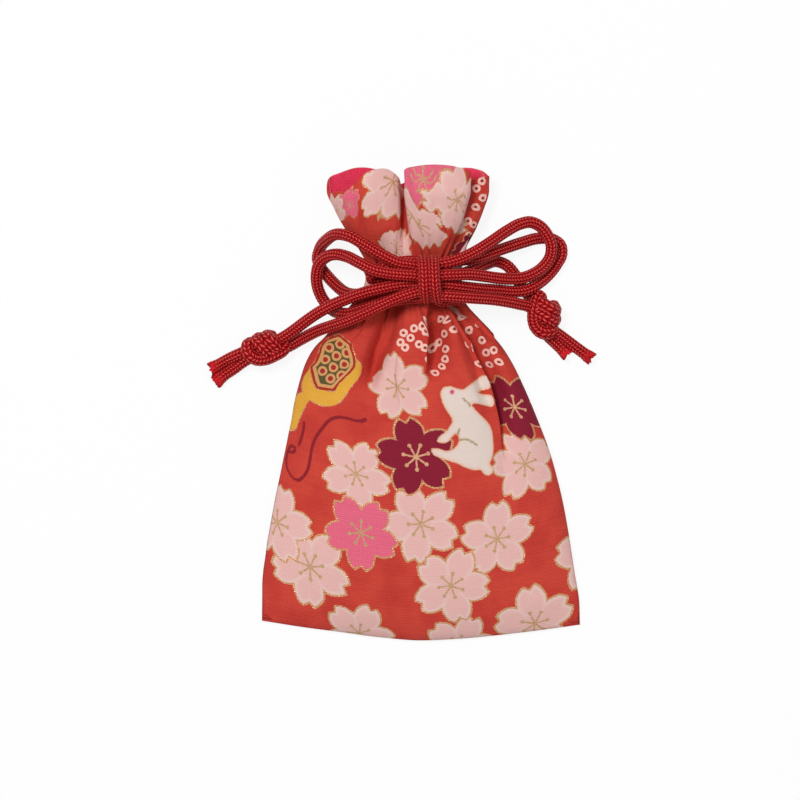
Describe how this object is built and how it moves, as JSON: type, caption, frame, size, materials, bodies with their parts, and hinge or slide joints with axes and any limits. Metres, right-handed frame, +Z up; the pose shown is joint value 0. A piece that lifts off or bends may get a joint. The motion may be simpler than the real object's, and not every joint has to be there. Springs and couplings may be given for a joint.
{
  "type": "amulet bag",
  "caption": "Gathered cloth drawstring pouch in a floral print, lined, closed by braided cords tied in a bow with knotted ends, lying on its back.",
  "frame": {"origin": "middle of the cloth bag's box, on the surface that the bag lies on", "axes": "+Y towards the open mouth, +Z up out of the front with the bow, +X across the bag to the right as the front is read"},
  "size_m": [0.0781, 0.0948, 0.0179],
  "materials": {
    "printed_cotton": "woven cotton with flowers and gold outlines",
    "lining_cloth": "smooth crimson lining",
    "braided_cord": "round braided cord with a soft sheen"
  },
  "bodies": {
    "root": {"outer_cloth": "printed_cotton", "lining": "lining_cloth", "bow_knot": "braided_cord", "left_end_knot": "braided_cord", "right_end_knot": "braided_cord", "left_loop_back": "braided_cord", "left_loop_front": "braided_cord", "left_tail_upper": "braided_cord", "left_tail_lower": "braided_cord", "right_loop_back": "braided_cord", "right_loop_front": "braided_cord", "right_tail_upper": "braided_cord", "right_tail_lower": "braided_cord", "left_lead_upper": "braided_cord", "left_lead_lower": "braided_cord", "right_lead_upper": "braided_cord", "right_lead_lower": "braided_cord", "left_cut_end_1": "braided_cord", "left_cut_end_2": "braided_cord", "right_cut_end_1": "braided_cord", "right_cut_end_2": "braided_cord"}
  },
  "joints": []
}
